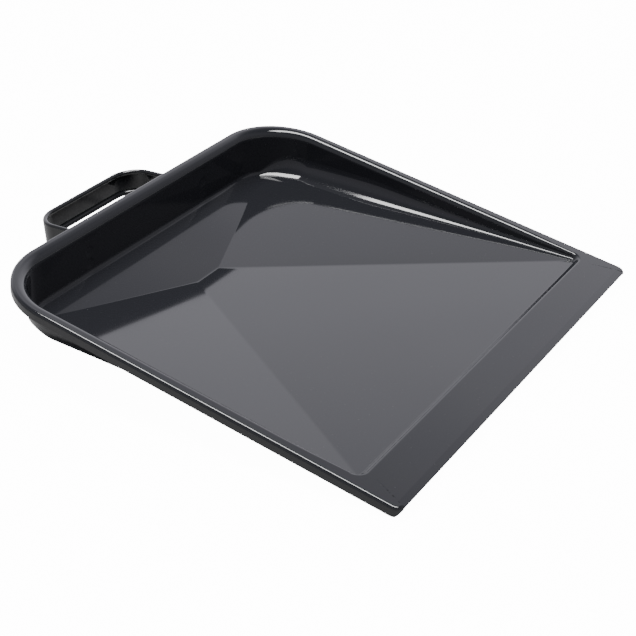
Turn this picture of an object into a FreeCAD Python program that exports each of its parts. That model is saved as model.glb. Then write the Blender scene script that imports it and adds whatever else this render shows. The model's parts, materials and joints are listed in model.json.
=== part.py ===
"""Pressed steel dustpan with a hipped floor and a spot-welded strap handle.

Every piece is first built level: the rim plane lies at z = 0, the open front
faces -Y, the handle faces +Y, and x = 0 is the plane of symmetry.  The pan
really rests on its two front skirt corners and on the lowest fold of its
floor, so the finished pieces are tilted about X until those touch z = 0.
"""
import FreeCAD
import Part
import math
import os

V = FreeCAD.Vector

# ---- driving dimensions, mm and degrees ---------------------------------
PAN_WIDTH = 305.0            # over the outside of both side skirts
PAN_LENGTH = 298.0           # front edge of the lip to the back skirt
SHEET = 0.8                  # sheet thickness of the pan
BACK_CORNER_RADIUS = 48.0    # outside, in plan
LIP_CORNER_RADIUS = 6.0      # outside, in plan
RIM_WIDTH = 9.5              # outer skirt face to the wall's upper edge
RIM_INNER_ROLL = 4.0         # radius where the wall turns out into the rim
RIM_OUTER_ROLL = 2.2         # radius where the rim turns down into the skirt
SKIRT_DEPTH = 9.0            # rim plane to the skirt's lower edge
SKIRT_FRONT_RADIUS = 9.0     # rounding of the skirt's lower front corner
WALL_DRAFT = 4.0             # lean of the side and back walls
LIP_LENGTH = 29.0            # front edge to the top of the step
STEP_SLOPE = 45.0            # slope of the step between lip and floor
STEP_CORNER_RADIUS = 6.0     # plan radius where the step meets a side wall

FOLD_DEPTH = 42.3            # rim plane to the lowest fold of the floor
FOLD_FROM_BACK = 63.3        # lowest fold to the outer back skirt
FOLD_LENGTH = 22.8           # length of the lowest fold across the pan
BACK_FACET_RISE = 0.147      # rise per mm towards the back
FRONT_FACET_RISE = 0.193     # rise per mm towards the lip
SIDE_FACET_RISE_OUT = 0.106  # rise per mm towards the side wall
SIDE_FACET_RISE_FRONT = 0.125
CREASE_RADIUS = 3.0          # inner radius of the floor's folds
FLOOR_FILLET = 4.0           # inner radius between walls and floor

STRAP = 1.2                  # sheet thickness of the handle strap
STRAP_HEIGHT = 19.0          # over the curled edges
HEM_RADIUS = 1.8             # outer radius of each curled edge
HEM_TURN = 278.0             # how far each edge curls round, degrees
LOOP_WIDTH = 103.6           # over the outside of both legs
LOOP_REACH = 47.3            # back skirt to the outside of the grip, mid-strap
LOOP_BEND = 19.7             # outside radius of the grip's two bends
LOOP_SLOPE = 12.0            # fall of the loop away from the pan, degrees
LOOP_TOP_DEPTH = 15.0        # rim plane to the strap's top edge, at the skirt
FOOT_LENGTH = 18.0           # leg's outside face to the foot's end
FOOT_BEND = 2.2              # outside radius between leg and foot
FOOT_CORNER = 4.0            # rounding of the foot's two free corners
HEM_STOP = 8.0               # wall to the end of the curled edges
WELD_DIAMETER = 5.5
WELD_SPACING = 9.2           # between the two welds of one foot
WELD_FROM_LEG = 9.2          # leg's outside face to the weld centres
WELD_DIMPLE = 0.2            # depth of the electrode mark in the pan's wall

DEEP = 80.0                  # tool depth, below everything
HIGH = 20.0                  # tool height, above everything
PAST_FRONT = 25.0            # how far tools run on past the front edge
CLOSE = 0.001                # two places this near are the same place
CREASE_LIFT = 0.05           # a fold's fillet rises less than this share of its radius


# ---- small helpers --------------------------------------------------------
def lean():
    """How far a wall moves inward per mm of depth."""
    return math.tan(math.radians(WALL_DRAFT))


def outline(half_width, back, front, back_radius, front_radius, z):
    """Closed plan outline: straight sides, two back and two front arcs."""
    k = math.sqrt(0.5)
    w, b, f = half_width, back, front
    rb, rf = back_radius, front_radius
    edges = []

    def line(x1, y1, x2, y2):
        edges.append(Part.LineSegment(V(x1, y1, z), V(x2, y2, z)).toShape())

    def arc(cx, cy, r, sx, sy, x1, y1, x2, y2):
        middle = V(cx + sx * k * r, cy + sy * k * r, z)
        edges.append(Part.Arc(V(x1, y1, z), middle, V(x2, y2, z)).toShape())

    line(w, f + rf, w, b - rb)
    arc(w - rb, b - rb, rb, 1, 1, w, b - rb, w - rb, b)
    line(w - rb, b, rb - w, b)
    arc(rb - w, b - rb, rb, -1, 1, rb - w, b, -w, b - rb)
    line(-w, b - rb, -w, f + rf)
    arc(rf - w, f + rf, rf, -1, -1, -w, f + rf, rf - w, f)
    line(rf - w, f, w - rf, f)
    arc(w - rf, f + rf, rf, 1, -1, w - rf, f, w, f + rf)
    return Part.Wire(edges)


def edges_on(shape, test):
    """The edges whose sampled points all pass the test."""
    real = [edge for edge in shape.Edges if not edge.Degenerated]
    return [edge for edge in real if all(test(p) for p in edge.discretize(7))]


# ---- the pan --------------------------------------------------------------
HALF_WIDTH = PAN_WIDTH / 2.0
BACK_Y = 0.0                              # outer face of the back skirt
FRONT_Y = BACK_Y - PAN_LENGTH
FOLD_Y = BACK_Y - FOLD_FROM_BACK
STEP_Y = FRONT_Y + LIP_LENGTH             # top edge of the step


def facets(grow):
    """A point and the upward normal of each floor facet, lowered by grow."""
    middle = V(0, FOLD_Y, -FOLD_DEPTH)
    end = V(FOLD_LENGTH / 2.0, 0, 0)
    back = V(0, -BACK_FACET_RISE, 1)
    front = V(0, FRONT_FACET_RISE, 1)
    left = V(SIDE_FACET_RISE_OUT, SIDE_FACET_RISE_FRONT, 1)
    right = V(-SIDE_FACET_RISE_OUT, SIDE_FACET_RISE_FRONT, 1)
    pairs = [(middle, back), (middle, front), (middle - end, left), (middle + end, right)]
    return [(point - n.normalize() * grow, n) for point, n in pairs]


def above_floor(point, grow):
    """Distances from a point to the four facet planes, smallest first."""
    return sorted((point - p).dot(n) for p, n in facets(grow))


def below_plane(point, normal):
    """A large block that fills the space below a plane."""
    size = 4 * PAN_WIDTH
    block = Part.makeBox(size, size, size, V(-size / 2, -size / 2, -size))
    block.Placement = FreeCAD.Placement(point, FreeCAD.Rotation(V(0, 0, 1), normal))
    return block


def cavity(grow):
    """The space inside the pan; grow = SHEET gives the sheet's underside."""
    wall_grow = grow / math.cos(math.radians(WALL_DRAFT))
    step_rise = math.tan(math.radians(STEP_SLOPE))
    step_grow = grow / math.sin(math.radians(STEP_SLOPE))
    wires = []
    for z in (HIGH, -DEEP):
        move = wall_grow + lean() * z
        wires.append(outline(HALF_WIDTH - RIM_WIDTH + move,
                             BACK_Y - RIM_WIDTH + move,
                             STEP_Y - step_grow - z / step_rise,
                             BACK_CORNER_RADIUS - RIM_WIDTH + move,
                             STEP_CORNER_RADIUS + grow,
                             z))
    solid = Part.makeLoft(wires, True, True)
    for point, normal in facets(grow):
        solid = solid.cut(below_plane(point, normal))
    solid = solid.Solids[0]

    def is_crease(p):
        return above_floor(p, grow)[1] < CLOSE

    solid = solid.makeFillet(CREASE_RADIUS + grow, edges_on(solid, is_crease))

    def is_foot(p):
        return above_floor(p, grow)[0] < CREASE_RADIUS * CREASE_LIFT and near_wall(p)

    return solid.makeFillet(FLOOR_FILLET + grow, edges_on(solid, is_foot))


def near_wall(p):
    """True close to the walls' or the step's line in plan."""
    reach = FLOOR_FILLET
    straight_x = HALF_WIDTH - RIM_WIDTH - reach
    straight_y = BACK_Y - RIM_WIDTH - reach
    if p.y < STEP_Y + reach or abs(p.x) > straight_x or p.y > straight_y:
        return True
    centre = BACK_CORNER_RADIUS
    dx = abs(p.x) - (HALF_WIDTH - centre)
    dy = p.y - (BACK_Y - centre)
    return dx > 0 and dy > 0 and math.hypot(dx, dy) > centre - RIM_WIDTH - reach


def plan_block(inset, past_front, top):
    """The pan's plan outline, moved inward, as a deep block under z = top."""
    wire = outline(HALF_WIDTH - inset, BACK_Y - inset, FRONT_Y - past_front,
                   BACK_CORNER_RADIUS - inset, LIP_CORNER_RADIUS, top)
    return Part.Face(wire).extrude(V(0, 0, -DEEP))


def pressed_over(grow):
    """Everything under the pan's upper face (grow = 0) or under its lower
    face (grow = SHEET): a block with a rounded top edge, less the cavity."""
    block = plan_block(grow, PAST_FRONT, -grow)

    def is_outer_top(p):
        return abs(p.z + grow) < CLOSE

    block = block.makeFillet(RIM_OUTER_ROLL - grow, edges_on(block, is_outer_top))
    block = block.cut(cavity(grow))

    def is_mouth(p):
        off_skirt = HALF_WIDTH - abs(p.x) > RIM_WIDTH / 2.0 and p.y < BACK_Y - RIM_WIDTH / 2.0
        return off_skirt and abs(p.z + grow) < CLOSE and p.y > STEP_Y - RIM_INNER_ROLL

    return block.makeFillet(RIM_INNER_ROLL - grow, edges_on(block, is_mouth))


def pan():
    """The one pressing: floor, walls, rolled rim, skirt and lip."""
    shell = pressed_over(0.0).cut(pressed_over(SHEET))
    shell = shell.common(plan_block(0.0, 0.0, 0.0))
    around = plan_block(-SHEET, PAST_FRONT, -SKIRT_DEPTH)
    shell = shell.cut(around.cut(plan_block(RIM_WIDTH / 2.0, 2 * PAST_FRONT, 0.0)))
    radius = SKIRT_FRONT_RADIUS
    size = V(2 * PAN_WIDTH, radius + SHEET, SKIRT_DEPTH)
    corner = Part.makeBox(size.x, size.y, size.z,
                          V(-PAN_WIDTH, FRONT_Y - SHEET, -2 * SHEET - size.z))
    rounding = Part.makeCylinder(radius, size.x,
                                 V(-PAN_WIDTH, FRONT_Y + radius, radius - SKIRT_DEPTH), V(1, 0, 0))
    return shell.cut(corner.cut(rounding))


# ---- the handle -----------------------------------------------------------
WEB_HALF = STRAP_HEIGHT / 2.0 - HEM_RADIUS     # flat part between the curls


def joint_point():
    """Where the strap's middle line meets the outside of the back wall."""
    slope = math.tan(math.radians(LOOP_SLOPE))
    wall_y = BACK_Y - RIM_WIDTH + SHEET / math.cos(math.radians(WALL_DRAFT))
    strap_z = -LOOP_TOP_DEPTH - STRAP_HEIGHT / 2.0 / math.cos(math.radians(LOOP_SLOPE))
    z = (strap_z - slope * (wall_y - BACK_Y)) / (1.0 + slope * lean())
    return V(0, wall_y + lean() * z, z)


def wall_frame():
    """Y points squarely out of the back wall, Z up along it."""
    return FreeCAD.Placement(joint_point(), FreeCAD.Rotation(V(1, 0, 0), -WALL_DRAFT))


def loop_frame():
    """Y runs out along the sloping loop, Z squarely across the strap."""
    return FreeCAD.Placement(joint_point(), FreeCAD.Rotation(V(1, 0, 0), -LOOP_SLOPE))


def hem(sign):
    """Outer arc, end and inner arc of one curled edge, at X = inward."""
    centre = V(HEM_RADIUS, 0, sign * WEB_HALF)

    def on(radius, turned):
        angle = math.radians(180.0 - turned)
        return centre + V(radius * math.cos(angle), 0, sign * radius * math.sin(angle))

    outer = Part.Arc(on(HEM_RADIUS, 0), on(HEM_RADIUS, HEM_TURN / 2), on(HEM_RADIUS, HEM_TURN))
    bore = HEM_RADIUS - STRAP
    inner = Part.Arc(on(bore, HEM_TURN), on(bore, HEM_TURN / 2), on(bore, 0))
    end = Part.LineSegment(on(HEM_RADIUS, HEM_TURN), on(bore, HEM_TURN))
    return [outer.toShape(), end.toShape(), inner.toShape()]


def strap_section():
    """The strap cut across: a flat web with both edges curled inward."""
    edges = hem(1) + hem(-1)
    for x in (0.0, STRAP):
        edges.append(Part.LineSegment(V(x, 0, -WEB_HALF), V(x, 0, WEB_HALF)).toShape())
    return Part.Wire(Part.__sortEdges__(edges))


def loop_path(start, reach):
    """Outside line of the loop: leg, bend, grip, bend, leg."""
    half = LOOP_WIDTH / 2.0
    r = LOOP_BEND
    k = r * (1.0 - math.sqrt(0.5))
    left_leg = Part.LineSegment(V(-half, start, 0), V(-half, reach - r, 0))
    left = Part.Arc(V(-half, reach - r, 0), V(k - half, reach - k, 0), V(r - half, reach, 0))
    grip = Part.LineSegment(V(r - half, reach, 0), V(half - r, reach, 0))
    right = Part.Arc(V(half - r, reach, 0), V(half - k, reach - k, 0), V(half, reach - r, 0))
    right_leg = Part.LineSegment(V(half, reach - r, 0), V(half, start, 0))
    return Part.Wire([g.toShape() for g in (left_leg, left, grip, right, right_leg)])


def foot(side):
    """One plain end: a stub of the leg, the bend and the foot on the wall."""
    leg = side * LOOP_WIDTH / 2.0
    inner_x = leg - side * STRAP
    bend_x = inner_x + side * FOOT_BEND
    tip_x = leg + side * FOOT_LENGTH
    length = 2 * HEM_STOP
    k = math.sqrt(0.5)

    def bend(radius):
        start = V(bend_x - side * radius, FOOT_BEND, 0)
        middle = V(bend_x - side * radius * k, FOOT_BEND - radius * k, 0)
        return Part.Arc(start, middle, V(bend_x, FOOT_BEND - radius, 0)).toShape()

    points = [V(bend_x, 0, 0), V(tip_x, 0, 0), V(tip_x, STRAP, 0), V(bend_x, STRAP, 0)]
    edges = [Part.LineSegment(a, b).toShape() for a, b in zip(points, points[1:])]
    points = [V(leg, FOOT_BEND, 0), V(leg, length, 0), V(inner_x, length, 0), V(inner_x, FOOT_BEND, 0)]
    edges += [Part.LineSegment(a, b).toShape() for a, b in zip(points, points[1:])]
    edges += [bend(FOOT_BEND), bend(FOOT_BEND - STRAP)]
    face = Part.Face(Part.Wire(Part.__sortEdges__(edges)))
    plain = face.extrude(V(0, 0, 2 * STRAP_HEIGHT))
    plain.translate(V(0, 0, -STRAP_HEIGHT))
    plain.Placement = wall_frame().multiply(plain.Placement)

    band = Part.makeBox(2 * PAN_WIDTH, DEEP + HEM_STOP, 2 * WEB_HALF, V(-PAN_WIDTH, -DEEP, -WEB_HALF))
    band.Placement = loop_frame()
    plain = plain.common(band).Solids[0]

    def is_tip_corner(p):
        return abs(p.x - tip_x) < CLOSE

    tips = [e for e in edges_on(plain, is_tip_corner) if e.Length < 2 * STRAP]
    return plain.makeFillet(FOOT_CORNER, tips)


def handle_strap():
    """The D-shaped loop with its two feet, before the weld holes."""
    section = strap_section()
    section.translate(V(-LOOP_WIDTH / 2.0, HEM_STOP, 0))
    reach = (LOOP_REACH - (joint_point().y - BACK_Y)) / math.cos(math.radians(LOOP_SLOPE))
    loop = loop_path(HEM_STOP, reach).makePipeShell([section], True, False)
    loop.Placement = loop_frame()
    return loop.fuse([foot(-1), foot(1)]).removeSplitter()


def weld_places():
    """Name and centre of each spot weld, in the wall's frame."""
    places = {}
    for side, side_name in ((-1, "left"), (1, "right")):
        for end, end_name in ((1, "upper"), (-1, "lower")):
            x = side * (LOOP_WIDTH / 2.0 + WELD_FROM_LEG)
            places["weld_" + side_name + "_" + end_name] = V(x, 0, end * WELD_SPACING / 2.0)
    return places


def weld_plug(centre, inner, outer):
    """A round plug through wall and foot, between two depths in the wall."""
    plug = Part.makeCylinder(WELD_DIAMETER / 2.0, outer - inner, centre + V(0, inner, 0), V(0, 1, 0))
    plug.Placement = wall_frame().multiply(plug.Placement)
    return plug


# ---- assembly -------------------------------------------------------------
def rest_tilt():
    """Angle that brings the front skirt corners and the floor's lowest fold
    onto one level surface: the line from the fold that touches the corner's
    rounding."""
    corner_y = FRONT_Y + SKIRT_FRONT_RADIUS
    corner_z = SKIRT_FRONT_RADIUS - SKIRT_DEPTH
    along = FOLD_Y - corner_y
    up = corner_z + FOLD_DEPTH + SHEET
    sine = SKIRT_FRONT_RADIUS / math.hypot(along, up)
    return math.degrees(math.atan2(up, along) - math.asin(sine))


def build():
    """All pieces, standing at rest on z = 0 with the origin under the middle."""
    nodes = {"pan": pan(), "handle_strap": handle_strap()}
    for name, centre in weld_places().items():
        hole = weld_plug(centre, -2 * SHEET, 2 * STRAP)
        nodes["pan"] = nodes["pan"].cut(hole)
        nodes["handle_strap"] = nodes["handle_strap"].cut(hole)
        nodes[name] = weld_plug(centre, WELD_DIMPLE - SHEET, STRAP)
    for shape in nodes.values():
        shape.rotate(V(0, 0, 0), V(1, 0, 0), rest_tilt())
    box = Part.makeCompound(list(nodes.values())).optimalBoundingBox(False, False)
    for shape in nodes.values():
        shape.translate(V(-box.Center.x, -box.Center.y, -box.ZMin))
    return nodes


def main():
    os.makedirs("parts", exist_ok=True)
    for name, shape in build().items():
        shape.exportStep("parts/" + name + ".step")
        print(name, len(shape.Solids), shape.isValid(), round(shape.Volume, 1))


main()
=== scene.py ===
# %% [markdown]
# # A steel dustpan in black enamel
# The dustpan is one sheet of thin steel pressed into a tray, with a bent strap
# welded on behind for a handle. The CAD model gives its size and place. Its
# triangles could simply be smoothed and painted, but gloss enamel shows every
# flat spot in its shine. So each piece is made again here as a fine surface.

# %% Load the frame
import json
import math
import bpy
import numpy as np
from mathutils import Matrix, Vector


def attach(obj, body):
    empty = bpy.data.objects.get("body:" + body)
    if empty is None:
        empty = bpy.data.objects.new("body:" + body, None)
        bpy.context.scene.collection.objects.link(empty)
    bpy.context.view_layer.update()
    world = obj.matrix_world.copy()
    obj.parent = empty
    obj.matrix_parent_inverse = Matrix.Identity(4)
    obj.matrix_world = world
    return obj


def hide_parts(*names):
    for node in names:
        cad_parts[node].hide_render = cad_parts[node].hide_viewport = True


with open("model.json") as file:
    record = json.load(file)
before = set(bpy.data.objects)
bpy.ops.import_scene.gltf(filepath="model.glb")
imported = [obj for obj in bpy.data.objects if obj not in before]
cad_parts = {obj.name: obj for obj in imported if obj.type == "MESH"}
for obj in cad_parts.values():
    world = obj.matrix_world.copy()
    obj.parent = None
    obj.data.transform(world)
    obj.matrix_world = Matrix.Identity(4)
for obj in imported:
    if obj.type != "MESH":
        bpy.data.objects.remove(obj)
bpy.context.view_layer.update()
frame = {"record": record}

# %% [markdown]
# The camera comes first, so that every later choice can be judged from it. It
# stands to the front left of the pan, looking down at about 32 degrees, with a
# longish lens. A Track To constraint could aim it, but a matrix whose columns
# are right, up and backwards also holds its slight roll.

# %% Camera
camera_data = bpy.data.cameras.new("studio_camera")
camera_data.lens = 78.83
camera_data.sensor_width = 36.0
camera_data.clip_start = 0.01
camera = bpy.data.objects.new("studio_camera", camera_data)
bpy.context.collection.objects.link(camera)
look = Vector((0.715889, 0.460994, -0.524392))
right = Vector((0.543535, -0.839377, 0.004124))
up = right.cross(look)
turn = Matrix((right, up, -look)).transposed().to_4x4()
camera.matrix_world = Matrix.Translation((-0.64756, -0.44114, 0.47099)) @ turn
bpy.context.scene.camera = camera
print("camera looks down by", round(math.degrees(math.asin(-look.z)), 1), "degrees")

# %% [markdown]
# The pan is easiest to describe with its rim level: x to the right, y = 0 at
# the back and -298 at the front lip, z = 0 on the rim, all in millimetres. In
# use it tips forward. The objects could be turned to suit, but the points are
# turned instead, so every object stays unturned at the origin. The rim's mount
# in the record gives the tip and the place.

# %% From the level frame to the standing one
mount = [m for m in frame["record"]["mounts"] if m["name"] == "rim_plane"][0]
axis = np.array(mount["axis"], float)
axis = axis / np.linalg.norm(axis)
COS, SIN = axis[2], -axis[1]
TIP = np.array([[1, 0, 0], [0, COS, -SIN], [0, SIN, COS]])
MOUNT_POINT = np.array([0.0, -286.0, 0.0])
ORIGIN = np.array(mount["pos_m"], float) * 1000.0 - TIP @ MOUNT_POINT
print("tip", round(math.degrees(math.asin(SIN)), 3), "origin", np.round(ORIGIN, 2))


def stand(points):
    """Level-frame millimetres to standing metres: turn by TIP, add ORIGIN."""
    return (points @ TIP.T + ORIGIN) / 1000.0


# %% [markdown]
# A grid of points becomes a mesh by joining each point to its neighbours. A
# subdivision modifier could make a coarse grid smooth, but it would pull small
# radii in, so the grid itself is fine. Faces must turn the way that their
# surface faces, or the light comes out wrong, so that is tested once here.

# %% Grid helpers
def unit(v):
    """Each row divided by its length."""
    return v / np.maximum(np.linalg.norm(v, axis=-1, keepdims=True), 1e-12)


def grid_faces(rows, columns):
    """Corner numbers of a grid's quads: (i, j), (i, j+1), (i+1, j+1), (i+1, j).
    The last column joins the first."""
    i, j = np.meshgrid(np.arange(rows - 1), np.arange(columns), indexing="ij")
    j2 = (j + 1) % columns
    return np.stack([i * columns + j, i * columns + j2,
                     (i + 1) * columns + j2, (i + 1) * columns + j], axis=-1).reshape(-1, 4)


def facing_out(points, normals, faces):
    """The faces, turned over if their cross products of diagonals, times the
    mean normal of their corners, add up to less than nothing."""
    quad = points[faces]
    facing = np.cross(quad[:, 2] - quad[:, 0], quad[:, 3] - quad[:, 1])
    if np.sum(facing * normals[faces].mean(axis=1)) < 0:
        return faces[:, ::-1]
    return faces


# %% [markdown]
# Where a surface closes on itself some points fall together, so equal points
# are merged and faces that lose a corner are dropped. Blender could guess the
# smooth directions from the faces. The true direction at each point is known
# here, so it is handed over instead, and the shine does not follow the facets.

# %% Surface maker
def make_surface(name, points, normals, faces):
    """Merges equal points by rounding to 0.0001 mm, drops repeated corners,
    and gives each corner the surface's own worked-out normal."""
    keys = np.round(points, 4)
    _, first, where = np.unique(keys, axis=0, return_index=True, return_inverse=True)
    a, b, c, d = where.reshape(-1)[faces].T
    triangles = np.vstack([np.c_[a, b, c], np.c_[a, c, d]])
    source = np.vstack([faces[:, [0, 1, 2]], faces[:, [0, 2, 3]]])
    keep = (triangles[:, 0] != triangles[:, 1]) & (triangles[:, 1] != triangles[:, 2])
    keep &= triangles[:, 0] != triangles[:, 2]
    triangles, source = triangles[keep], source[keep]
    mesh = bpy.data.meshes.new(name)
    mesh.vertices.add(len(first))
    mesh.vertices.foreach_set("co", stand(points[first]).ravel())
    mesh.loops.add(triangles.size)
    mesh.loops.foreach_set("vertex_index", triangles.ravel().astype(np.int32))
    mesh.polygons.add(len(triangles))
    mesh.polygons.foreach_set("loop_start", np.arange(0, triangles.size, 3, dtype=np.int32))
    mesh.update(calc_edges=True)
    mesh.polygons.foreach_set("use_smooth", np.ones(len(triangles), bool))
    mesh.normals_split_custom_set((normals[source.ravel()] @ TIP.T).tolist())
    piece = bpy.data.objects.new(name, mesh)
    bpy.context.collection.objects.link(piece)
    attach(piece, "root")
    print(name, len(first), "points", len(triangles), "triangles")
    return piece


# %% [markdown]
# The floor is four flat facets folded like an envelope. They could be modelled
# face by face. It is simpler to say that each is a plane, and that the floor is
# the highest of them at every point. A real fold is not a knife edge, so near a
# fold the two planes are blended over a fraction of a millimetre of height.

# %% The folded floor
FOLD_Y, FOLD_Z, FOLD_END = -63.3, -42.3, 11.4
FRONT_RISE, BACK_RISE = 0.193, 0.147
OUT_RISE, AHEAD_RISE = 0.106, 0.125
LONG_FOLD, CORNER_FOLD = 0.30, 0.14


def blend_max(a, ga, b, gb, band):
    """The higher of two heights, plus (band - gap)^2 / (4 band) near a tie."""
    gap = a - b
    near = np.clip(band - np.abs(gap), 0, None)
    height = np.maximum(a, b) + near ** 2 / (4 * band)
    share = np.clip(0.5 + gap / (2 * band), 0, 1)[..., None]
    return height, share * ga + (1 - share) * gb


def floor_at(x, y):
    """Height and slope of the floor: the blended highest of four planes."""
    ones = np.ones_like(x)[..., None]
    ahead = FOLD_Y - y
    front = (FOLD_Z + FRONT_RISE * ahead, ones * [0, -FRONT_RISE])
    back = (FOLD_Z - BACK_RISE * ahead, ones * [0, BACK_RISE])
    left = (FOLD_Z - OUT_RISE * (x + FOLD_END) + AHEAD_RISE * ahead,
            ones * [-OUT_RISE, -AHEAD_RISE])
    right = (FOLD_Z + OUT_RISE * (x - FOLD_END) + AHEAD_RISE * ahead,
             ones * [OUT_RISE, -AHEAD_RISE])
    z, g = blend_max(*front, *back, LONG_FOLD)
    z, g = blend_max(z, g, *left, CORNER_FOLD)
    return blend_max(z, g, *right, CORNER_FOLD)


mid_height, _ = floor_at(np.zeros(2), np.array([FOLD_Y, -269.0]))
print("floor height at the fold and below the step's top edge", np.round(mid_height, 2))

# %% [markdown]
# Seen from above, the rim is two outlines: the inner one where the wall begins,
# and the outer one where the skirt turns down. Each could be a curve object.
# Here one number t walks round both at once, so that a column of points can run
# from the floor to the skirt. One half is worked out and mirrored.

# %% Outlines of the rim
HALF, RIM, SHEET = 152.5, 9.5, 0.8
FRONT_Y, LIP_Y = -298.0, -269.0
LEAN = math.tan(math.radians(4.0))
BACK_RADIUS, FRONT_RADIUS = 48.0, 6.0
CORNER_X, CORNER_Y = HALF - BACK_RADIUS, -BACK_RADIUS
INNER = HALF - RIM
SIDE_FRONT = LIP_Y + FRONT_RADIUS


def half_columns(t):
    """Places and directions at parameter t, 0 at the front middle and 5 at the
    back middle. Each whole number starts the next straight or arc."""
    seg = np.clip(t.astype(int), 0, 4)
    part = [seg == k for k in range(4)]
    u = t - seg
    quarter = np.pi / 2
    zero, one = np.zeros_like(t), np.ones_like(t)
    fan = u * quarter
    # the lip's corner turns in the first half of its stretch and then runs straight
    swing = np.clip(u / 0.5, 0, 1) * quarter
    slide = np.clip((u - 0.5) / 0.5, 0, 1)
    side_y = SIDE_FRONT + (CORNER_Y - SIDE_FRONT) * u
    inner_r, outer_r = BACK_RADIUS - RIM, BACK_RADIUS
    inner_x = np.select(part, [-(INNER - FRONT_RADIUS) * u,
                               -(INNER - FRONT_RADIUS) - FRONT_RADIUS * np.sin(fan),
                               -INNER * one, -CORNER_X - inner_r * np.cos(fan)],
                        -CORNER_X * (1 - u))
    inner_y = np.select(part, [LIP_Y * one, SIDE_FRONT - FRONT_RADIUS * np.cos(fan),
                               side_y, CORNER_Y + inner_r * np.sin(fan)], -RIM * one)
    outer_x = np.select(part, [-(HALF - FRONT_RADIUS) * u,
                               -(HALF - FRONT_RADIUS) - FRONT_RADIUS * np.sin(swing),
                               -HALF * one, -CORNER_X - outer_r * np.cos(fan)],
                        -CORNER_X * (1 - u))
    outer_y = np.select(part, [FRONT_Y * one,
                               FRONT_Y + FRONT_RADIUS * (1 - np.cos(swing))
                               + (SIDE_FRONT - FRONT_Y - FRONT_RADIUS) * slide,
                               side_y, CORNER_Y + outer_r * np.sin(fan)], zero)
    ax = np.select(part, [zero, -np.sin(fan), -one, -np.cos(fan)], zero)
    ay = np.select(part, [-one, -np.cos(fan), zero, np.sin(fan)], one)
    bx = np.where(seg == 1, -np.sin(swing), ax)
    by = np.where(seg == 1, -np.cos(swing), ay)
    # the step's corner leans both ways, and this fades over 25 mm of the side wall
    fade = np.clip(1 - (side_y - SIDE_FRONT) / 25, 0, 1)
    dx = np.select(part[:2], [-LEAN * u, -LEAN * one], ax * LEAN)
    dy = np.select(part[:3], [-one, -one, -fade], ay * LEAN)
    turn_down = np.where(seg == 0, 0.0, np.where(seg == 1, swing / quarter, 1.0))
    return (np.c_[inner_x, inner_y], np.c_[outer_x, outer_y], np.c_[ax, ay],
            np.c_[bx, by], np.c_[dx, dy], turn_down)


# %% [markdown]
# Between wall and floor the steel turns through a rounded foot. A bevel
# modifier could round it, but it can't change its radius along the way so
# freely. A ball that rolls along the foot can: it touches both, and the arc
# between the two places where it touches is the foot.

# %% The foot of the wall
def foot_line(inner, a, d, radius):
    """Where a ball of this radius rests between wall and floor. The ball's
    centre slides down the wall line until it is one radius off the floor."""
    t = np.sum(a * d, axis=1)
    wall_n = unit(np.c_[-a, t])
    z = np.full(len(a), -20.0)
    for _ in range(40):
        centre = inner + d * z[:, None] - a * (radius * np.sqrt(1 + t ** 2))[:, None]
        foot = centre
        for _ in range(4):
            h, g = floor_at(foot[:, 0], foot[:, 1])
            floor_n = unit(np.c_[-g, np.ones(len(g))])
            foot = centre - radius[:, None] * floor_n[:, :2]
        z = 0.5 * z + 0.5 * (h + radius * floor_n[:, 2])
    return np.c_[centre, z], floor_n, wall_n, t


def spread(counts):
    """Even steps in each stretch of t, joined end to end."""
    return np.unique(np.concatenate(
        [np.linspace(k, k + 1, n, endpoint=False) for k, n in enumerate(counts)] + [[5.0]]))


probe = spread([300, 300, 600, 400, 300])
inner, outer, a, b, d, down = half_columns(probe)
centre, floor_n, wall_n, _ = foot_line(inner, a, d, np.full(len(probe), 4.0))
foot = centre - 4.0 * floor_n
lead = FOLD_Y - foot[:, 1]
aside = foot[:, 0] + FOLD_END
front_gap = (FRONT_RISE - AHEAD_RISE) * lead + OUT_RISE * aside
back_gap = -BACK_RISE * lead - (-OUT_RISE * aside + AHEAD_RISE * lead)
front_t = probe[np.nonzero(np.diff(np.sign(front_gap)))[0][0]]
back_t = probe[np.nonzero(np.diff(np.sign(back_gap)))[0][-1]]
print("folds reach the walls at t =", round(front_t, 3), round(back_t, 3))

# %% [markdown]
# Even spacing would waste points on flat sheet and starve the folds. So the
# columns stand closer where a fold reaches a wall, round the lip's corner, and
# on the back wall where the welds have left dents.

# %% Spacing of the columns
steps = np.array([0, 0.3, 0.7, 1.3, 2.2, 3.6])
steps = np.concatenate([-steps, steps])
near_folds = np.concatenate([front_t + steps / 38.0, back_t + steps / 75.0])
near_lip_corner = np.linspace(1.0, 1.3, 26)
near_welds = 4 + (CORNER_X - np.arange(53.0, 69.5, 1.1)) / CORNER_X
half_t = np.concatenate([spread([40, 40, 60, 30, 32]), near_folds, near_welds,
                         near_lip_corner])
half_t = np.unique(np.round(half_t, 5))
print(len(half_t), "columns on each half")

# %% [markdown]
# Pressed steel changes shape gently, so every change along the rim is eased in
# and out. A straight ramp would leave a visible kink in the shine at each end.

# %% Easing
def smooth(x):
    """0 to 1 with level ends: 3x^2 - 2x^3."""
    x = np.clip(x, 0, 1)
    return x * x * (3 - 2 * x)


def soft_least(a, b):
    """The smaller of a and b, rounded off where they meet, never above it."""
    gap = np.clip(1 - np.abs(a - b), 0, 1)
    return np.minimum(a, b) - 0.25 * gap ** 2


def arc_between(n0, n1, count):
    """Directions that turn evenly from n0 to n1 along a great circle."""
    angle = np.arccos(np.clip(np.sum(n0 * n1, axis=1), -1, 1))[None, :, None]
    s = np.linspace(0, 1, count)[:, None, None]
    safe = np.maximum(np.sin(angle), 1e-6)
    return unit((np.sin((1 - s) * angle) * n0 + np.sin(s * angle) * n1) / safe)


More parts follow.
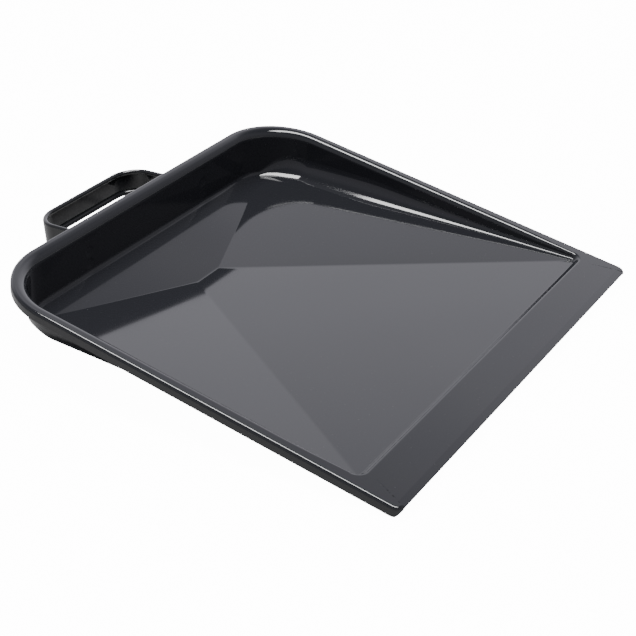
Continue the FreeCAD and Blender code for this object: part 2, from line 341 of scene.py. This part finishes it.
# %% [markdown]
# A deep press needs a generous foot or the sheet tears, so the side walls' feet
# are widest at the back corners and tighten forward. Over the top the wall
# rolls outward into the rim. One fixed radius for each would be simpler, but
# both must fit one above the other, and the wall is only a few millimetres high
# at the lip. So each is eased against the height that the wall has there.

# %% How round the foot and the rim are
FOOT, DEEP_FOOT = 3.6, 12.6
ROLL, BACK_ROLL = 4.0, 2.4
AT_STEP = 1.6


def radii(t, inner, a, d):
    """Radius of the foot and of the roll. Neither passes 0.46 height / (1 -
    sine of the lean), but a deep foot may be up to 1.42 times that."""
    lean = np.sum(a * d, axis=1)
    sine = lean / np.sqrt(1 + lean ** 2)
    height = np.full(len(t), 20.0)
    for _ in range(30):
        low = inner - d * height[:, None]
        height = 0.5 * height - 0.5 * floor_at(low[:, 0], low[:, 1])[0]
    room = 0.46 * height / (1 - sine)
    step = smooth((sine - 0.07) / 0.5)
    beside = smooth((np.abs(a[:, 0]) - 0.5) / 0.45)
    deep = smooth((height - 8) / 16) * beside
    fillet = soft_least(FOOT - AT_STEP * step + DEEP_FOOT * deep, room * (1 + 0.42 * deep))
    rounder = BACK_ROLL * smooth((t - 2.2) / 1.4)
    return fillet, soft_least(ROLL - AT_STEP * step + rounder, room)


# %% [markdown]
# The floor's part of each column starts on the short fold in the middle and
# runs out to the foot. The fold has only 15 places to start from, so columns
# share them, and the merging of equal points closes the fan that they make.

# %% Floor rows
def floor_rows(t, foot):
    """28 rows from the fold to the foot, spaced by share^1.6 of the way."""
    knots = np.linspace(-FOLD_END, FOLD_END, 15)
    front_x = foot[:, 0] * FOLD_END / abs(np.interp(front_t, t, foot[:, 0]))
    back_x = foot[:, 0] * FOLD_END / abs(np.interp(back_t, t, foot[:, 0]))
    end_x = np.where(t < front_t, front_x, np.where(t > back_t, back_x, -FOLD_END))
    end_x = knots[np.abs(knots[None, :] - end_x[:, None]).argmin(axis=1)]
    end = np.c_[end_x, np.full(len(t), FOLD_Y)]
    s = (np.linspace(0, 1, 28) ** 1.6)[:, None, None]
    xy = end[None] * (1 - s) + foot[None, :, :2] * s
    z, g = floor_at(xy[..., 0], xy[..., 1])
    return (np.concatenate([xy, z[..., None]], -1),
            unit(np.concatenate([-g, np.ones_like(z)[..., None]], -1)))


# %% [markdown]
# Then the column goes round the foot, straight up the wall and over the roll.
# Arcs could be drawn through points, but a centre plus radius times a turning
# direction is exact, and that same direction is the surface's normal.

# %% Wall rows
def wall_rows(inner, a, d, fillet, roll, ball):
    """Foot: centre - radius * direction. Wall: a straight run between the two
    arcs. Roll: centre + radius * direction."""
    centre, floor_n, wall_n, lean = ball
    foot_n = arc_between(floor_n, wall_n, 9)[1:]
    foot_p = centre[None] - fillet[None, :, None] * foot_n
    start = centre - fillet[:, None] * wall_n
    outward = a * (roll * np.sqrt(1 + lean ** 2))[:, None]
    roll_c = np.c_[inner + d * -roll[:, None] + outward, -roll]
    finish = roll_c + roll[:, None] * wall_n
    s = np.linspace(0, 1, 25)[1:, None, None]
    wall_p = start[None] * (1 - s) + finish[None] * s
    top = np.tile([0.0, 0.0, 1.0], (len(inner), 1))
    roll_n = arc_between(wall_n, top, 9)[1:]
    roll_p = roll_c[None] + roll[None, :, None] * roll_n
    return ([foot_p, wall_p, roll_p],
            [foot_n, np.repeat(wall_n[None], 24, 0), roll_n])


# %% [markdown]
# The skirt stiffens the rim and hides the cut edge. Behind the lip it turns
# square down by 9 mm, and its lower edge rises on a 9 mm radius to the front.
# The lip itself is left thin and almost flat, so that dirt slides over it. One
# angle that grows from 4 to 90 degrees makes both out of the same rows.

# %% Skirt rows
CURL, EDGE = 2.2, SHEET / 2
SKIRT, SKIRT_RADIUS = 9.0, 9.0


def skirt_rows(outer, b, down, leave):
    """Flat rim, a curl of radius CURL through the angle, then a straight run to
    the edge. Its depth is sqrt(radius^2 - distance past the radius's start^2)."""
    n = len(down)
    angle = np.radians(4 + 86 * smooth(down / 0.23))
    fall = np.clip(FRONT_Y + SKIRT_RADIUS - outer[:, 1], 0, SKIRT_RADIUS - 0.01)
    depth = np.sqrt(np.maximum(SKIRT_RADIUS ** 2 - fall ** 2, 0))
    depth = np.where(fall <= 0, SKIRT, np.clip(depth, 0.9, SKIRT))
    run = (depth - EDGE - CURL * (1 - np.cos(angle))) / np.sin(angle)
    band = 4.6 - 2.2 * smooth(down / 0.12)
    reach = (band - CURL * np.sin(angle)) / np.maximum(np.cos(angle), 0.05)
    run = np.clip(np.minimum(run, reach), 0.15, 6.4)
    inset = CURL * np.sin(angle) + run * np.cos(angle) - EDGE * np.sin(angle) + EDGE
    begin = np.c_[outer - b * inset[:, None], np.zeros(n)]
    level, top = np.c_[b, np.zeros(n)], np.tile([0.0, 0.0, 1.0], (n, 1))
    s = np.linspace(0, 1, 6)[1:, None, None]
    rim_p = leave[None] * (1 - s) + begin[None] * s
    psi = (np.linspace(0, 1, 10)[1:, None] * angle)[..., None]
    curl_n = np.sin(psi) * level + np.cos(psi) * top
    curl_p = begin[None] + CURL * (curl_n - top)
    along = level * np.cos(angle)[:, None] - top * np.sin(angle)[:, None]
    run_p = curl_p[-1][None] + along * run[:, None] * s
    return ([rim_p, curl_p, run_p],
            [np.repeat(top[None], 5, 0), curl_n, np.repeat(curl_n[-1][None], 5, 0)], along)


# %% [markdown]
# Put end to end, those rows are the whole upper face of the left half: one
# column climbs from the fold to the skirt's edge without a gap.

# %% The upper face
def upper_face(t):
    """All rows of points and normals over the left half, and the direction in
    which each column leaves its last point."""
    inner, outer, a, b, d, down = half_columns(t)
    fillet, roll = radii(t, inner, a, d)
    ball = foot_line(inner, a, d, fillet)
    foot = ball[0] - fillet[:, None] * ball[1]
    floor_p, floor_n = floor_rows(t, foot)
    wall_p, wall_n = wall_rows(inner, a, d, fillet, roll, ball)
    skirt_p, skirt_n, along = skirt_rows(outer, b, down, wall_p[-1][-1])
    return (np.concatenate([floor_p, *wall_p, *skirt_p]),
            np.concatenate([floor_n, *wall_n, *skirt_n]), along)


top_p, top_n, along = upper_face(half_t)
print("upper face of one half:", top_p.shape[0], "rows by", top_p.shape[1], "columns")

# %% [markdown]
# A pressed sheet is never perfectly flat, and gloss shows it. Bump alone could
# fake a swell, but a real shift also bends the rim's outline. So a slow swell of
# a few hundredths of a millimetre is added. Behind each foot of the handle the
# spot welds leave small round dents, and the wall is pulled a little around
# them. The surface direction is tipped to suit, by the slope of the shift.

# %% Pressing marks
WELD_X = 61.0
WELDS = [(side * WELD_X, up) for side in (-1, 1) for up in (-17.94, -27.12)]
DENT, HOLLOW, HOLLOW_WIDTH = 0.22, 0.24, 5.0


def press(p):
    """Shift along the normal, in mm: a sum of slow sines, less a flat-bottomed
    dent at every weld and a broad hollow exp(-x^2 / 2w^2) behind each foot."""
    x, y, z = p[..., 0], p[..., 1], p[..., 2]
    swell = 0.022 * np.sin(x / 13.0 + 0.7) * np.sin(y / 17.0 + 0.4)
    swell += 0.020 * np.sin((x + 1.3 * y) / 23.0) + 0.014 * np.sin((x - 0.8 * y) / 15.0 + 1.9)
    on_wall = smooth((y + 16.0) / 3.0) * smooth((-z - 5.0) / 4.0)
    for wx, wz in WELDS:
        away = np.hypot(x - wx, z - wz)
        swell = swell - DENT * on_wall * (1 - smooth((away - 1.9) / 2.2))
    for wx in (-WELD_X, WELD_X):
        swell = swell - HOLLOW * on_wall * np.exp(-(x - wx) ** 2 / (2 * HOLLOW_WIDTH ** 2))
    return swell


def pressed(points, normals):
    """Moves points by press() and tips normals by its slope on the surface.
    Both fade out over the last few millimetres before the pan's outline."""
    eps = 0.05
    slope = np.stack([(press(points + eps * e) - press(points - eps * e)) / (2 * eps)
                      for e in np.eye(3)], axis=-1)
    slope -= normals * np.sum(normals * slope, -1, keepdims=True)
    edge = smooth((HALF - np.abs(points[..., 0])) / 6) * smooth(-points[..., 1] / 6)
    edge = (edge * smooth((points[..., 1] - FRONT_Y) / 8))[..., None]
    return points + normals * press(points)[..., None] * edge, unit(normals - slope * edge)


# %% [markdown]
# The underside is the same surface one sheet thickness further down. A Solidify
# modifier could make it, but it would lose the exact directions. A half round
# joins the two at the edge, and the right half mirrors the left.

# %% The whole pan
def mirror(grid):
    """Adds the right half: x changes sign and the columns run back again."""
    other = (grid * [-1.0, 1.0, 1.0])[:, -2:0:-1]
    return np.concatenate([grid, other], 1)


top_p, top_n = pressed(mirror(top_p), mirror(top_n))
along = mirror(along[None])[0]
phi = np.linspace(0, np.pi, 8)[1:-1, None, None]
edge_n = np.cos(phi) * top_n[-1] + np.sin(phi) * along
edge_p = top_p[-1] - EDGE * top_n[-1] + EDGE * edge_n
low_p, low_n = (top_p - SHEET * top_n)[::-1], -top_n[::-1]
pan_p = np.concatenate([top_p, edge_p, low_p])
pan_n = np.concatenate([top_n, edge_n, low_n])
faces = grid_faces(*pan_p.shape[:2])
flat_p, flat_n = pan_p.reshape(-1, 3), pan_n.reshape(-1, 3)
pan = make_surface("enamelled_pan", flat_p, flat_n, facing_out(flat_p, flat_n, faces))
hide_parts("pan")

# %% [markdown]
# The handle is a flat steel strip that lies on the back wall, bends out, runs
# round the loop and returns. A curve with a bevel object could carry its
# section, but the section changes along the way. So the path is made of points
# first: straight, tight bend, straight leg, wide bend and straight grip.

# %% Path of the handle
STRAP, FOOT_TIP = 1.2, 69.8
JOINT = np.array([0.0, -10.273, -22.529])
LEG, BEND, FOOT_BEND = 51.8, 19.7, 1.0
SLOPE = math.radians(12.0)
REACH = (47.3 - JOINT[1]) / math.cos(SLOPE)


def path_half():
    """Outside line of the strap from foot tip to grip middle, and the turn of
    its heading in radians: 0 along the wall, a quarter turn along the leg."""
    quarter = np.pi / 2
    tip = FOOT_TIP - np.r_[np.linspace(0, 4, 9), np.linspace(5, 17, 12)]
    foot = np.c_[-tip, np.full(len(tip), STRAP)]
    tight = np.linspace(0, quarter, 8)
    bend_y = STRAP + FOOT_BEND
    first = np.c_[-LEG - FOOT_BEND + FOOT_BEND * np.sin(tight), bend_y - FOOT_BEND * np.cos(tight)]
    out = np.linspace(bend_y, REACH - BEND, 34)[1:]
    leg = np.c_[np.full(len(out), -LEG), out]
    wide = np.linspace(0, quarter, 72)[1:]
    second = np.c_[-LEG + BEND - BEND * np.cos(wide), REACH - BEND + BEND * np.sin(wide)]
    across = np.linspace(BEND - LEG, 0, 18)[1:]
    grip = np.c_[across, np.full(len(across), REACH)]
    heads = [np.zeros(len(tip)), tight, np.full(len(out), quarter), quarter - wide,
             np.zeros(len(across))]
    return np.concatenate([foot, first, leg, second, grip]), np.concatenate(heads)


line, head = path_half()
line = np.concatenate([line, (line * [-1, 1])[-2::-1]])
head = np.concatenate([head, -head[-2::-1]])
print("handle path", len(line), "stations")

# %% [markdown]
# Across, the strip is a flat web with a curl on each side, so that the hand
# meets a round edge and not a sheared one. The section could be traced by hand,
# but an arc about a middle line, thickened both ways, keeps the sheet's
# thickness everywhere. A half round closes each of its two ends.

# %% Section of the handle
WEB, HEM, HEM_TURN = 7.7, 1.8, math.radians(278.0)


def section(amount, cut):
    """Offset inward, height and normal round the strip, for one share of the
    full curl, with the flat web running to half-height cut."""
    middle = HEM - STRAP / 2
    w = np.linspace(0, 1, 15)[1:] * HEM_TURN * amount
    curl = np.c_[HEM - middle * np.cos(w), cut + middle * np.sin(w)]
    curl_n = np.c_[-np.cos(w), np.sin(w)]
    web = np.c_[np.full(13, STRAP / 2), np.linspace(-1, 1, 13) * cut]
    web_n = np.c_[np.full(13, -1.0), np.zeros(13)]
    line = np.concatenate([(curl * [1, -1])[::-1], web, curl])
    normal = np.concatenate([(curl_n * [1, -1])[::-1], web_n, curl_n])
    onward = np.c_[normal[-1:, 1], -normal[-1:, 0]]
    half = np.linspace(0, np.pi, 7)[1:-1, None]
    end_n = np.cos(half) * normal[-1] + np.sin(half) * onward
    start_n = np.cos(half) * -normal[0] + np.sin(half) * onward * [1, -1]
    points = [line + normal * STRAP / 2, line[-1] + end_n * STRAP / 2,
              (line - normal * STRAP / 2)[::-1], line[0] + start_n * STRAP / 2]
    return np.concatenate(points), np.concatenate([normal, end_n, -normal[::-1], start_n])


# %% [markdown]
# The curls start a few millimetres out from the wall, where the foot ends, so
# the angle that each has turned grows from nothing to 278 degrees along that
# stretch. The foot's two free corners are rounded by 4 mm, so that they don't
# scratch. Both are only numbers that change from station to station.

# %% Sections along the path
FOOT_ROUND = 4.0
from_tip = FOOT_TIP - np.abs(line[:, 0])
in_foot = np.abs(line[:, 0]) > 53
inset = np.clip(FOOT_ROUND - from_tip, 0, FOOT_ROUND) * in_foot
cut = WEB - FOOT_ROUND + np.sqrt(FOOT_ROUND ** 2 - inset ** 2)
cut = cut - EDGE * 1.5 * (1 - smooth((line[:, 1] - 2.2) / 8))
amount = smooth((line[:, 1] - 3.0) / 6.5) * ~in_foot
sections = [section(share, half) for share, half in zip(amount, cut)]
sec_p = np.array([p for p, _ in sections])
sec_n = np.array([n for _, n in sections])
print("section has", sec_p.shape[1], "points; full curl on", int((amount > 0.99).sum()), "stations")

# %% [markdown]
# Where the strip is bent round, the inside of each curl has to shorten, and it
# puckers. A noise texture would spread that everywhere. A sine along the path,
# faded by the distance from the bend, puts it only where the steel was bent.

# %% Puckers at the bends
PUCKER, PUCKER_STEP = 0.16, 2.6
bends = np.array([[-44.0, 53.0], [44.0, 53.0]])
near_bend = np.exp(-((line[:, None] - bends) ** 2).sum(-1) / (2 * 6.0 ** 2)).sum(1)
walk = np.cumsum(np.r_[0, np.linalg.norm(np.diff(line, axis=0), axis=1)])
pucker = PUCKER * near_bend * np.sin(walk * 2 * np.pi / PUCKER_STEP)
on_curl = smooth((np.abs(sec_p[..., 1]) - WEB) / 1.5)
sec_p[..., 0] += pucker[:, None] * on_curl * 0.6
sec_p[..., 1] -= np.sign(sec_p[..., 1]) * np.abs(pucker[:, None]) * on_curl * 0.7
print("deepest pucker", round(float(np.abs(pucker).max()), 3), "mm")

# %% [markdown]
# Each section is now carried to its station. The strip follows the wall's lean
# at its feet and falls away by 12 degrees further out, so that a hand fits
# under the rim. Each tip is closed by strips across its own ring of points.

# %% The bent strap
def to_level(x, y, s, turn):
    """x across, y out from the wall, s up the strip, dropped by turn."""
    return np.stack([x, y * np.cos(turn) + s * np.sin(turn),
                     -y * np.sin(turn) + s * np.cos(turn)], -1)


inward = np.c_[np.sin(head), -np.cos(head)]
over_x, over_y = inward[:, None, 0], inward[:, None, 1]
drop = np.radians(4 + 8 * smooth(line[:, 1] / 8))[:, None]
strap_p = to_level(line[:, None, 0] + sec_p[..., 0] * over_x,
                   line[:, None, 1] + sec_p[..., 0] * over_y, sec_p[..., 1], drop) + JOINT
strap_n = unit(to_level(sec_n[..., 0] * over_x, sec_n[..., 0] * over_y, sec_n[..., 1], drop))
ring = strap_p.shape[1]
flat_p, flat_n = strap_p.reshape(-1, 3), strap_n.reshape(-1, 3)
faces = facing_out(flat_p, flat_n, grid_faces(len(line), ring))
k = np.arange(-3, 43)
strip = np.c_[k, k + 1, 85 - k, 86 - k] % ring
for end_ring, side in ((strap_p[0], -1.0), (strap_p[-1], 1.0)):
    sideways = np.tile([side, 0.0, 0.0], (ring, 1))
    faces = np.vstack([faces, facing_out(end_ring, sideways, strip) + len(flat_p)])
    flat_p = np.vstack([flat_p, end_ring])
    flat_n = np.vstack([flat_n, sideways])
handle = make_surface("bent_strap", flat_p, flat_n, faces)
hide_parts("handle_strap")

# %% [markdown]
# A spot weld leaves a round, slightly dished mark on both faces. A bump texture
# could draw it, but it would vanish from the side. Each mark is a thin lens: a
# profile turned round its axis, standing a few hundredths of a millimetre above
# the metal so that the enamel catches the light on its rim.

# %% Profile of a weld mark
def lens(middle, out, radius, proud, depth):
    """Height proud * (0.35 + 0.65 r^4) falling to zero at the rim, closed
    underneath by a flat disc at -depth. r is the share of the radius."""
    r = np.r_[np.linspace(0, 0.9, 12), 0.95, 0.98, 1.0, 1.0, 0.5, 0.0]
    h = np.r_[proud * (0.35 + 0.65 * r[:13] ** 4), proud * 0.7, 0.0, -depth, -depth, -depth]
    w = np.linspace(0, 2 * np.pi, 40, endpoint=False)
    side = unit(np.cross(out, [1.0, 0, 0]))
    other = np.cross(out, side)
    spin = np.cos(w)[:, None] * side + np.sin(w)[:, None] * other
    p = middle + radius * r[:, None, None] * spin + h[:, None, None] * out
    rise = np.gradient(h, np.arange(len(r)))[:, None, None]
    run = radius * np.gradient(r, np.arange(len(r)))[:, None, None]
    return p, unit(run * out - rise * spin)


# %% [markdown]
# There are two welds to each foot, one above the other. The mark inside the pan
# is smaller, because it sits in the bottom of its dent. The mark outside lies
# on the strap. The two make one object, because they are one weld.

# %% Weld marks
WELD_RISE = 4.6
wall_lean = math.atan(LEAN)
wall_out = np.array([0, math.cos(wall_lean), -math.sin(wall_lean)])
wall_up = np.array([0, math.sin(wall_lean), math.cos(wall_lean)])


def weld_mark(name, side, end):
    """Both lenses of one weld, at JOINT + side along x + end up the wall."""
    place = JOINT + [side * WELD_X, 0, 0] + wall_up * end * WELD_RISE
    inside = lens(place - wall_out * (SHEET - 0.46), -wall_out, 1.9, 0.05, 0.15)
    outside = lens(place + wall_out * STRAP, wall_out, 2.7, 0.05, 0.15)
    points, normals, faces = [], [], []
    for p, n in (inside, outside):
        flat_p, flat_n = p.reshape(-1, 3), n.reshape(-1, 3)
        faces.append(facing_out(flat_p, flat_n, grid_faces(*p.shape[:2]))
                     + len(flat_p) * len(points))
        points.append(flat_p)
        normals.append(flat_n)
    mark = make_surface("mark_" + name, np.vstack(points), np.vstack(normals), np.vstack(faces))
    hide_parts(name)
    return mark


weld_marks = []
for side, side_name in ((-1, "left"), (1, "right")):
    for end, end_name in ((1, "upper"), (-1, "lower")):
        weld_marks.append(weld_mark("weld_" + side_name + "_" + end_name, side, end))

# %% [markdown]
# Nodes are made by short lines from here on. Each group is a small machine with
# named inputs and outputs, which any material can use with its own numbers.

# %% Node helpers
FLOAT, VECTOR = "NodeSocketFloat", "NodeSocketVector"


def new_group(name, inputs, outputs):
    """An empty shader group with the named sockets, and its two end nodes."""
    group = bpy.data.node_groups.new(name, "ShaderNodeTree")
    for label, kind, value in inputs:
        socket = group.interface.new_socket(label, in_out="INPUT", socket_type=kind)
        if value is not None:
            socket.default_value = value
    for label, kind in outputs:
        group.interface.new_socket(label, in_out="OUTPUT", socket_type=kind)
    return group, group.nodes.new("NodeGroupInput"), group.nodes.new("NodeGroupOutput")


def math_node(tree, kind, a, b):
    """One Math node on a and b; each is a socket or a number."""
    node = tree.nodes.new("ShaderNodeMath")
    node.operation = kind
    for i, value in enumerate((a, b)):
        if isinstance(value, (int, float)):
            node.inputs[i].default_value = value
        else:
            tree.links.new(value, node.inputs[i])
    return node.outputs[0]


# %% [markdown]
# Enamel is never a perfect mirror. It dries with a faint ripple called orange
# peel. That could be modelled in the mesh, but it is far finer than any mesh
# here, so a noise gives it as a height for the Bump node.

# %% Orange peel
peel, peel_in, peel_out = new_group(
    "orange_peel", [("Place", VECTOR, None), ("Size", FLOAT, 300.0), ("Depth", FLOAT, 0.5)],
    [("Height", FLOAT)])
fine = peel.nodes.new("ShaderNodeTexNoise")
fine.inputs["Detail"].default_value = 2.0
peel.links.new(peel_in.outputs["Place"], fine.inputs["Vector"])
peel.links.new(peel_in.outputs["Size"], fine.inputs["Scale"])
peel_height = math_node(peel, "MULTIPLY", fine.outputs["Fac"], peel_in.outputs["Depth"])
peel.links.new(peel_height, peel_out.inputs["Height"])
print("group", peel.name, "with", len(peel.nodes), "nodes")

# %% [markdown]
# Handling leaves a slightly clouded gloss, and a few specks of dust settle. One
# roughness number would look like plastic. So a broad noise moves the roughness
# between two limits, and a very fine one picks out the specks.

# %% Dust and haze
haze, haze_in, haze_out = new_group(
    "dust_and_haze", [("Place", VECTOR, None), ("Low", FLOAT, 0.1), ("High", FLOAT, 0.2)],
    [("Roughness", FLOAT), ("Dust", FLOAT)])
cloud = haze.nodes.new("ShaderNodeTexNoise")
cloud.inputs["Scale"].default_value = 22.0
cloud.inputs["Detail"].default_value = 5.0
haze.links.new(haze_in.outputs["Place"], cloud.inputs["Vector"])
limits = haze.nodes.new("ShaderNodeMapRange")
limits.inputs["From Min"].default_value = 0.3
limits.inputs["From Max"].default_value = 0.7
haze.links.new(cloud.outputs["Fac"], limits.inputs["Value"])
haze.links.new(haze_in.outputs["Low"], limits.inputs["To Min"])
haze.links.new(haze_in.outputs["High"], limits.inputs["To Max"])
haze.links.new(limits.outputs["Result"], haze_out.inputs["Roughness"])
specks = haze.nodes.new("ShaderNodeTexNoise")
specks.inputs["Scale"].default_value = 900.0
haze.links.new(haze_in.outputs["Place"], specks.inputs["Vector"])
dust = math_node(haze, "GREATER_THAN", specks.outputs["Fac"], 0.74)
haze.links.new(dust, haze_out.inputs["Dust"])
print("group", haze.name, "with", len(haze.nodes), "nodes")

# %% [markdown]
# The finish itself is a thick gloss paint: almost black, a little blue, with
# most of its look coming from what it reflects. A Glossy shader could do that,
# but Principled also keeps the faint colour between the reflections. Both
# groups read Object coordinates, so nothing slides over the surface.

# %% Enamel
def enamel(name, dark, light, low, high, depth, coarse):
    """Glossy paint: two close shades mixed by specks, a roughness between low
    and high, and orange peel of that depth through a Bump node."""
    material = bpy.data.materials.new(name)
    material.use_nodes = True
    tree = material.node_tree
    shader = tree.nodes["Principled BSDF"]
    place = tree.nodes.new("ShaderNodeTexCoord").outputs["Object"]
    gloss = tree.nodes.new("ShaderNodeGroup")
    gloss.node_tree = haze
    tree.links.new(place, gloss.inputs["Place"])
    gloss.inputs["Low"].default_value = low
    gloss.inputs["High"].default_value = high
    tree.links.new(gloss.outputs["Roughness"], shader.inputs["Roughness"])
    mix = tree.nodes.new("ShaderNodeMix")
    mix.data_type = "RGBA"
    mix.inputs["A"].default_value = (*dark, 1)
    mix.inputs["B"].default_value = (*light, 1)
    tree.links.new(gloss.outputs["Dust"], mix.inputs["Factor"])
    tree.links.new(mix.outputs["Result"], shader.inputs["Base Color"])
    skin = tree.nodes.new("ShaderNodeGroup")
    skin.node_tree = peel
    tree.links.new(place, skin.inputs["Place"])
    skin.inputs["Size"].default_value = coarse
    skin.inputs["Depth"].default_value = 1.0
    bump = tree.nodes.new("ShaderNodeBump")
    bump.inputs["Distance"].default_value = depth
    bump.inputs["Strength"].default_value = 1.0
    tree.links.new(skin.outputs["Height"], bump.inputs["Height"])
    tree.links.new(bump.outputs["Normal"], shader.inputs["Normal"])
    shader.inputs["IOR"].default_value = 1.52
    return material


# %% [markdown]
# The pan, the strap and the welds are dipped in the same paint. It runs thinner
# and duller on the strap and over the welds, so each has its own numbers.

# %% Paint the pieces
BLACK, GREY = (0.0115, 0.012, 0.0145), (0.03, 0.03, 0.032)
pan.data.materials.append(enamel("black_enamel", BLACK, GREY, 0.055, 0.085, 0.0000018, 420.0))
handle.data.materials.append(enamel("handle_enamel", (0.010, 0.0105, 0.012), (0.03, 0.03, 0.031),
                                    0.08, 0.13, 0.0000025, 520.0))
weld_finish = enamel("weld_enamel", BLACK, GREY, 0.08, 0.13, 0.0000020, 700.0)
for mark in weld_marks:
    mark.data.materials.append(weld_finish)
print("painted", 2 + len(weld_marks), "pieces")

# %% [markdown]
# A pale floor carries the pan. Lit white, it would shine up into every black
# surface. So it is a middling grey for all light that bounces, and glows white
# only where the camera looks straight at it.

# %% Floor
bpy.ops.mesh.primitive_plane_add(size=12.0, location=(0, 0, 0))
ground = bpy.context.object
ground.name = "studio_floor"
pale = bpy.data.materials.new("pale_floor")
pale.use_nodes = True
pale_shader = pale.node_tree.nodes["Principled BSDF"]
pale_shader.inputs["Base Color"].default_value = (0.30, 0.30, 0.30, 1)
pale_shader.inputs["Roughness"].default_value = 0.9
pale_shader.inputs["Emission Color"].default_value = (1, 1, 1, 1)
rays = pale.node_tree.nodes.new("ShaderNodeLightPath")
glow = math_node(pale.node_tree, "MULTIPLY", rays.outputs["Is Camera Ray"], 14.0)
pale.node_tree.links.new(glow, pale_shader.inputs["Emission Strength"])
ground.data.materials.append(pale)

# %% [markdown]
# The folds of the floor are told apart by how high in the room each facet
# looks. So the room is bright near the horizon and dim overhead. An image of a
# studio could light it, but a colour ramp on the height of each direction does
# the same with six numbers.

# %% Light by height
world = bpy.data.worlds.new("studio")
bpy.context.scene.world = world
world.use_nodes = True
sky = world.node_tree
backdrop = sky.nodes["Background"]
direction = sky.nodes.new("ShaderNodeTexCoord")
split = sky.nodes.new("ShaderNodeSeparateXYZ")
sky.links.new(direction.outputs["Generated"], split.inputs["Vector"])
ramp = sky.nodes.new("ShaderNodeValToRGB")
sky.links.new(split.outputs["Z"], ramp.inputs["Fac"])
stops = [(0.0, 1.0), (0.50, 1.0), (0.64, 0.82), (0.72, 0.5), (0.82, 0.16), (1.0, 0.10)]
while len(ramp.color_ramp.elements) < len(stops):
    ramp.color_ramp.elements.new(0.5)
for element, (place, level) in zip(ramp.color_ramp.elements, stops):
    element.position = place
    element.color = (level, 0.985 * level, 1.06 * level, 1)
sky.links.new(ramp.outputs["Color"], backdrop.inputs["Color"])
print("ramp has", len(ramp.color_ramp.elements), "stops")

# %% [markdown]
# The room is also brighter behind the pan than in front of it, as it would be
# with a lit wall there. The level part of each direction is compared with the
# way to that wall: their dot product is 1 towards it and -1 away from it.

# %% Light by heading
level_part = sky.nodes.new("ShaderNodeVectorMath")
level_part.operation = "MULTIPLY"
level_part.inputs[1].default_value = (1, 1, 0)
sky.links.new(direction.outputs["Generated"], level_part.inputs[0])
heading = sky.nodes.new("ShaderNodeVectorMath")
heading.operation = "NORMALIZE"
sky.links.new(level_part.outputs["Vector"], heading.inputs[0])
towards_wall = sky.nodes.new("ShaderNodeVectorMath")
towards_wall.operation = "DOT_PRODUCT"
towards_wall.inputs[1].default_value = (0.82, 0.57, 0)
sky.links.new(heading.outputs["Vector"], towards_wall.inputs[0])
lobe = sky.nodes.new("ShaderNodeMapRange")
lobe.interpolation_type = "SMOOTHSTEP"
lobe.inputs["From Min"].default_value = 0.35
lobe.inputs["From Max"].default_value = 0.86
lobe.inputs["To Min"].default_value = 0.38
lobe.inputs["To Max"].default_value = 1.45
sky.links.new(towards_wall.outputs["Value"], lobe.inputs["Value"])
sky.links.new(lobe.outputs["Result"], backdrop.inputs["Strength"])
print("room strength from", 0.38, "to", 1.45)

# %% [markdown]
# One long soft box overhead draws the bright lines along the rolls. A small
# lamp would draw them too, but hard and broken, because the rolls are tight.

# %% Soft box
def soft_box(name, place, target, wide, high, watts):
    """A rectangle of light at place, turned to face target."""
    lamp = bpy.data.lights.new(name, "AREA")
    lamp.shape = "RECTANGLE"
    lamp.size, lamp.size_y, lamp.energy = wide, high, watts
    holder = bpy.data.objects.new(name, lamp)
    bpy.context.collection.objects.link(holder)
    holder.location = place
    aim = Vector(target) - Vector(place)
    holder.rotation_euler = aim.to_track_quat("-Z", "Y").to_euler()
    return holder


soft_box("overhead_box", (0.0, 0.0, 1.7), (0, 0, 0), 0.55, 1.6, 75)
